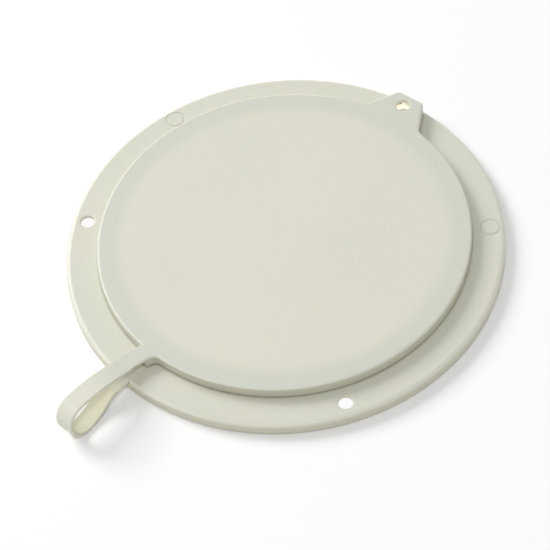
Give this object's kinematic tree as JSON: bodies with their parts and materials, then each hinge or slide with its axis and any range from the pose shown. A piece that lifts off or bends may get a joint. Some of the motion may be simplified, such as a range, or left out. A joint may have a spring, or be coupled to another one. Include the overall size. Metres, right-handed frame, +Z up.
{
  "type": "tethered inspection cover",
  "caption": "Round moulded elastomer cover with a grip tab and a sealing plug, tied by a folded strap to the screw-down ring that it closes.",
  "frame": {"origin": "centre of the ring's opening on the ring's underside, the face that rests on the tank", "axes": "+Z up out of the tank through the closed cover, +X from the strap across the disc towards the grip tab, +Y to the left of +X seen from above"},
  "size_m": [0.1952, 0.166, 0.0146],
  "materials": {
    "elastomer": "satin, slightly translucent ivory moulding"
  },
  "bodies": {
    "base": {"base_flange": "elastomer", "strap_lower_half": "elastomer"},
    "cover": {"cover_disc": "elastomer", "cover_plug": "elastomer", "strap_upper_half": "elastomer"}
  },
  "joints": [
    {"name": "cover_lift", "type": "hinge", "parent": "base", "child": "cover", "pos_m": [-0.1122, 0.0054, 0.0074], "axis": [0, -1, 0], "range_deg": [0, 180]}
  ]
}
